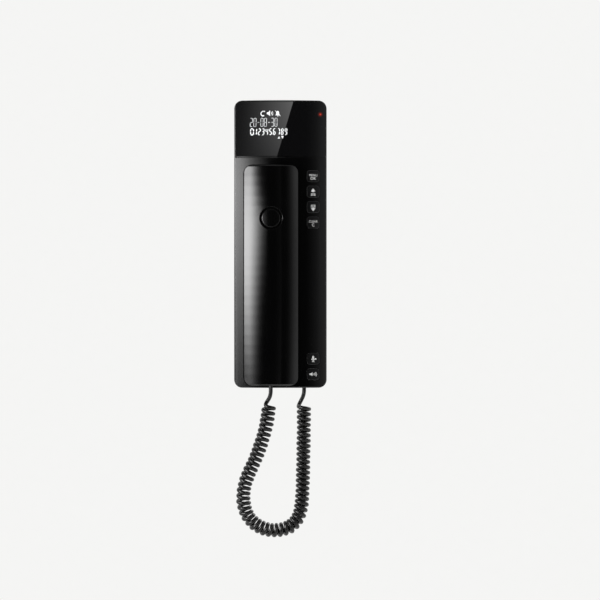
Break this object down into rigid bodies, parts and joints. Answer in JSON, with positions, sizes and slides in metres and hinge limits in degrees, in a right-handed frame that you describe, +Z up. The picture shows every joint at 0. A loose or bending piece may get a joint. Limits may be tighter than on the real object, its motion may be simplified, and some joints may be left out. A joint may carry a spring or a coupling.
{
  "type": "wall telephone",
  "caption": "Slim corded wall telephone: dark base with display and side keys, bowed handset with dial keys inside, and a curly cord in a loop.",
  "frame": {"origin": "midway between the two wall keyholes, on the flat back of the rear cover", "axes": "+Z up along the base, +Y into the wall, +X to the right as the telephone is looked at"},
  "size_m": [0.076, 0.0428, 0.3596],
  "materials": {
    "satin_black": "satin",
    "gloss_black": "gloss",
    "lens_black": "mirror gloss",
    "key_black": "satin with printed symbols",
    "lcd": "smooth",
    "light_guide": "gloss",
    "red_lamp": "clear gloss",
    "board": "solder mask",
    "rubber": "matt",
    "cord": "satin",
    "white_plastic": "satin",
    "clear_plastic": "clear",
    "steel": "plated",
    "cell": "plain jacket",
    "paper": "pressed fibre"
  },
  "bodies": {
    "base": {"front_shell": "satin_black", "rear_cover": "satin_black", "display_lens": "lens_black", "lcd_glass": "lcd", "lcd_backlight": "light_guide", "event_led": "red_lamp", "main_board": "board", "key_board": "board", "key_membrane": "rubber", "ringer_speaker": "steel", "speaker_cone": "paper", "hook_spring": "steel", "hook_switch": "key_black", "hanger_tab": "satin_black", "base_jack": "key_black", "line_jack": "key_black", "batteries": "cell", "battery_contacts": "steel", "housing_screws": "steel", "rubber_feet": "rubber", "base_plug": "clear_plastic", "base_lead": "cord", "curly_cord": "cord", "handset_lead": "cord"},
    "handset": {"handset_back": "gloss_black", "handset_face": "satin_black", "round_inlay": "gloss_black", "receiver": "steel", "microphone": "cell", "mic_boot": "rubber", "dial_board": "board", "dial_membrane": "rubber", "handset_weight": "steel", "handset_jack": "key_black", "handset_screws": "steel", "handset_plug": "clear_plastic"},
    "hook": {"hook_plunger": "white_plastic"},
    "battery_door": {"battery_door": "satin_black"},
    "key_menu": {"key_menu": "key_black"},
    "key_up": {"key_up": "key_black"},
    "key_down": {"key_down": "key_black"},
    "key_back": {"key_back": "key_black"},
    "key_mute": {"key_mute": "key_black"},
    "key_speaker": {"key_speaker": "key_black"},
    "dial_1": {"dial_1": "key_black"},
    "dial_2": {"dial_2": "key_black"},
    "dial_3": {"dial_3": "key_black"},
    "dial_4": {"dial_4": "key_black"},
    "dial_5": {"dial_5": "key_black"},
    "dial_6": {"dial_6": "key_black"},
    "dial_7": {"dial_7": "key_black"},
    "dial_8": {"dial_8": "key_black"},
    "dial_9": {"dial_9": "key_black"},
    "dial_star": {"dial_star": "key_black"},
    "dial_0": {"dial_0": "key_black"},
    "dial_hash": {"dial_hash": "key_black"}
  },
  "joints": [
    {"name": "handset_lift", "type": "slide", "parent": "base", "child": "handset", "axis": [0, -1, 0], "range_m": [0, 0.045], "deforming": ["curly_cord", "handset_lead"]},
    {"name": "hook_travel", "type": "slide", "parent": "base", "child": "hook", "axis": [0, -1, 0], "range_m": [0, 0.0032], "deforming": ["hook_spring"]},
    {"name": "battery_door_lift", "type": "slide", "parent": "base", "child": "battery_door", "axis": [0, 1, 0], "range_m": [0, 0.02]},
    {"name": "key_menu_press", "type": "slide", "parent": "base", "child": "key_menu", "axis": [0, 1, 0], "range_m": [0, 0.0008], "stiffness_N_per_m": 600, "deforming": ["key_membrane"]},
    {"name": "key_up_press", "type": "slide", "parent": "base", "child": "key_up", "axis": [0, 1, 0], "range_m": [0, 0.0008], "stiffness_N_per_m": 600, "deforming": ["key_membrane"]},
    {"name": "key_down_press", "type": "slide", "parent": "base", "child": "key_down", "axis": [0, 1, 0], "range_m": [0, 0.0008], "stiffness_N_per_m": 600, "deforming": ["key_membrane"]},
    {"name": "key_back_press", "type": "slide", "parent": "base", "child": "key_back", "axis": [0, 1, 0], "range_m": [0, 0.0008], "stiffness_N_per_m": 600, "deforming": ["key_membrane"]},
    {"name": "key_mute_press", "type": "slide", "parent": "base", "child": "key_mute", "axis": [0, 1, 0], "range_m": [0, 0.0008], "stiffness_N_per_m": 600, "deforming": ["key_membrane"]},
    {"name": "key_speaker_press", "type": "slide", "parent": "base", "child": "key_speaker", "axis": [0, 1, 0], "range_m": [0, 0.0008], "stiffness_N_per_m": 600, "deforming": ["key_membrane"]},
    {"name": "dial_1_press", "type": "slide", "parent": "handset", "child": "dial_1", "axis": [0, -1, 0], "range_m": [0, 0.0009], "stiffness_N_per_m": 600, "deforming": ["dial_membrane"]},
    {"name": "dial_2_press", "type": "slide", "parent": "handset", "child": "dial_2", "axis": [0, -1, 0], "range_m": [0, 0.0009], "stiffness_N_per_m": 600, "deforming": ["dial_membrane"]},
    {"name": "dial_3_press", "type": "slide", "parent": "handset", "child": "dial_3", "axis": [0, -1, 0], "range_m": [0, 0.0009], "stiffness_N_per_m": 600, "deforming": ["dial_membrane"]},
    {"name": "dial_4_press", "type": "slide", "parent": "handset", "child": "dial_4", "axis": [0, -1, 0], "range_m": [0, 0.0009], "stiffness_N_per_m": 600, "deforming": ["dial_membrane"]},
    {"name": "dial_5_press", "type": "slide", "parent": "handset", "child": "dial_5", "axis": [0, -1, 0], "range_m": [0, 0.0009], "stiffness_N_per_m": 600, "deforming": ["dial_membrane"]},
    {"name": "dial_6_press", "type": "slide", "parent": "handset", "child": "dial_6", "axis": [0, -1, 0], "range_m": [0, 0.0009], "stiffness_N_per_m": 600, "deforming": ["dial_membrane"]},
    {"name": "dial_7_press", "type": "slide", "parent": "handset", "child": "dial_7", "axis": [0, -1, 0], "range_m": [0, 0.0009], "stiffness_N_per_m": 600, "deforming": ["dial_membrane"]},
    {"name": "dial_8_press", "type": "slide", "parent": "handset", "child": "dial_8", "axis": [0, -1, 0], "range_m": [0, 0.0009], "stiffness_N_per_m": 600, "deforming": ["dial_membrane"]},
    {"name": "dial_9_press", "type": "slide", "parent": "handset", "child": "dial_9", "axis": [0, -1, 0], "range_m": [0, 0.0009], "stiffness_N_per_m": 600, "deforming": ["dial_membrane"]},
    {"name": "dial_star_press", "type": "slide", "parent": "handset", "child": "dial_star", "axis": [0, -1, 0], "range_m": [0, 0.0009], "stiffness_N_per_m": 600, "deforming": ["dial_membrane"]},
    {"name": "dial_0_press", "type": "slide", "parent": "handset", "child": "dial_0", "axis": [0, -1, 0], "range_m": [0, 0.0009], "stiffness_N_per_m": 600, "deforming": ["dial_membrane"]},
    {"name": "dial_hash_press", "type": "slide", "parent": "handset", "child": "dial_hash", "axis": [0, -1, 0], "range_m": [0, 0.0009], "stiffness_N_per_m": 600, "deforming": ["dial_membrane"]}
  ],
  "couplings": [
    {"joint": "hook_travel", "follows": "handset_lift", "ratio": 0.0711}
  ]
}
